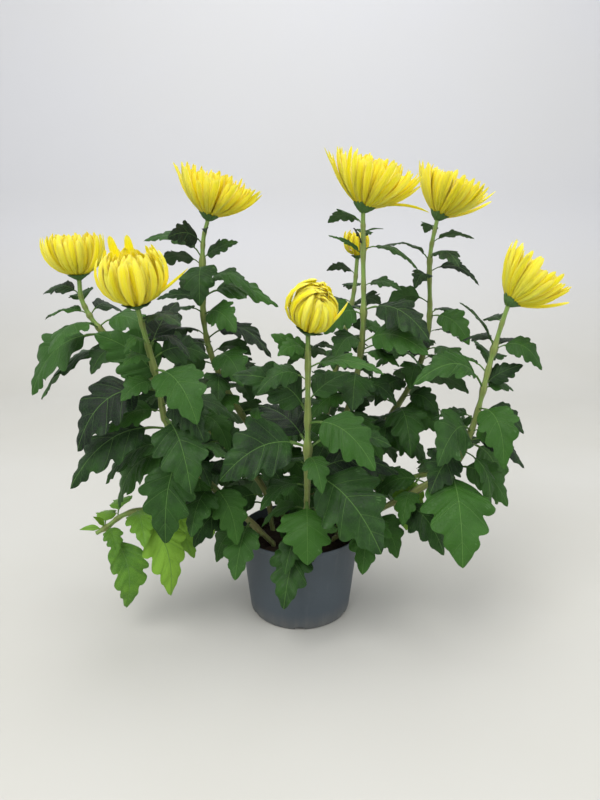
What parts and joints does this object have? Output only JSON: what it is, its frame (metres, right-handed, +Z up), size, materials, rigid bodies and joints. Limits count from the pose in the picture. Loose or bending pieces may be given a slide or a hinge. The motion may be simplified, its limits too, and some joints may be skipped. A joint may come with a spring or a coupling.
{
  "type": "potted chrysanthemum",
  "caption": "Leafy chrysanthemum in a plain round grow pot, with incurved yellow blooms on upright stems and low side shoots.",
  "frame": {"origin": "middle of the pot's foot, on the surface that the pot stands on", "axes": "+Z up, -Y towards the plant's front, where the half-open bloom stands, +X to the right as seen from the front"},
  "size_m": [0.5429, 0.2303, 0.4836],
  "materials": {
    "pot": "matte moulded plastic, grey-blue",
    "soil": "dry crumbly peat, matt",
    "leaf": "satin leaf, dark green, with paler veins",
    "petal": "soft satin petal, bright yellow",
    "young_leaf": "satin young leaf, yellow-green"
  },
  "bodies": {
    "root": {"pot": "pot", "soil": "soil", "stem_a": "leaf", "bloom_a": "petal", "stem_b": "leaf", "bloom_b": "petal", "stem_c": "leaf", "bloom_c": "petal", "stem_d": "leaf", "bloom_d": "petal", "stem_e": "leaf", "bloom_e": "petal", "stem_f": "leaf", "bloom_f": "petal", "stem_g": "leaf", "bloom_g": "petal", "stem_h": "leaf", "bloom_h": "petal", "shoot_left": "young_leaf", "shoot_right": "young_leaf"}
  },
  "joints": []
}
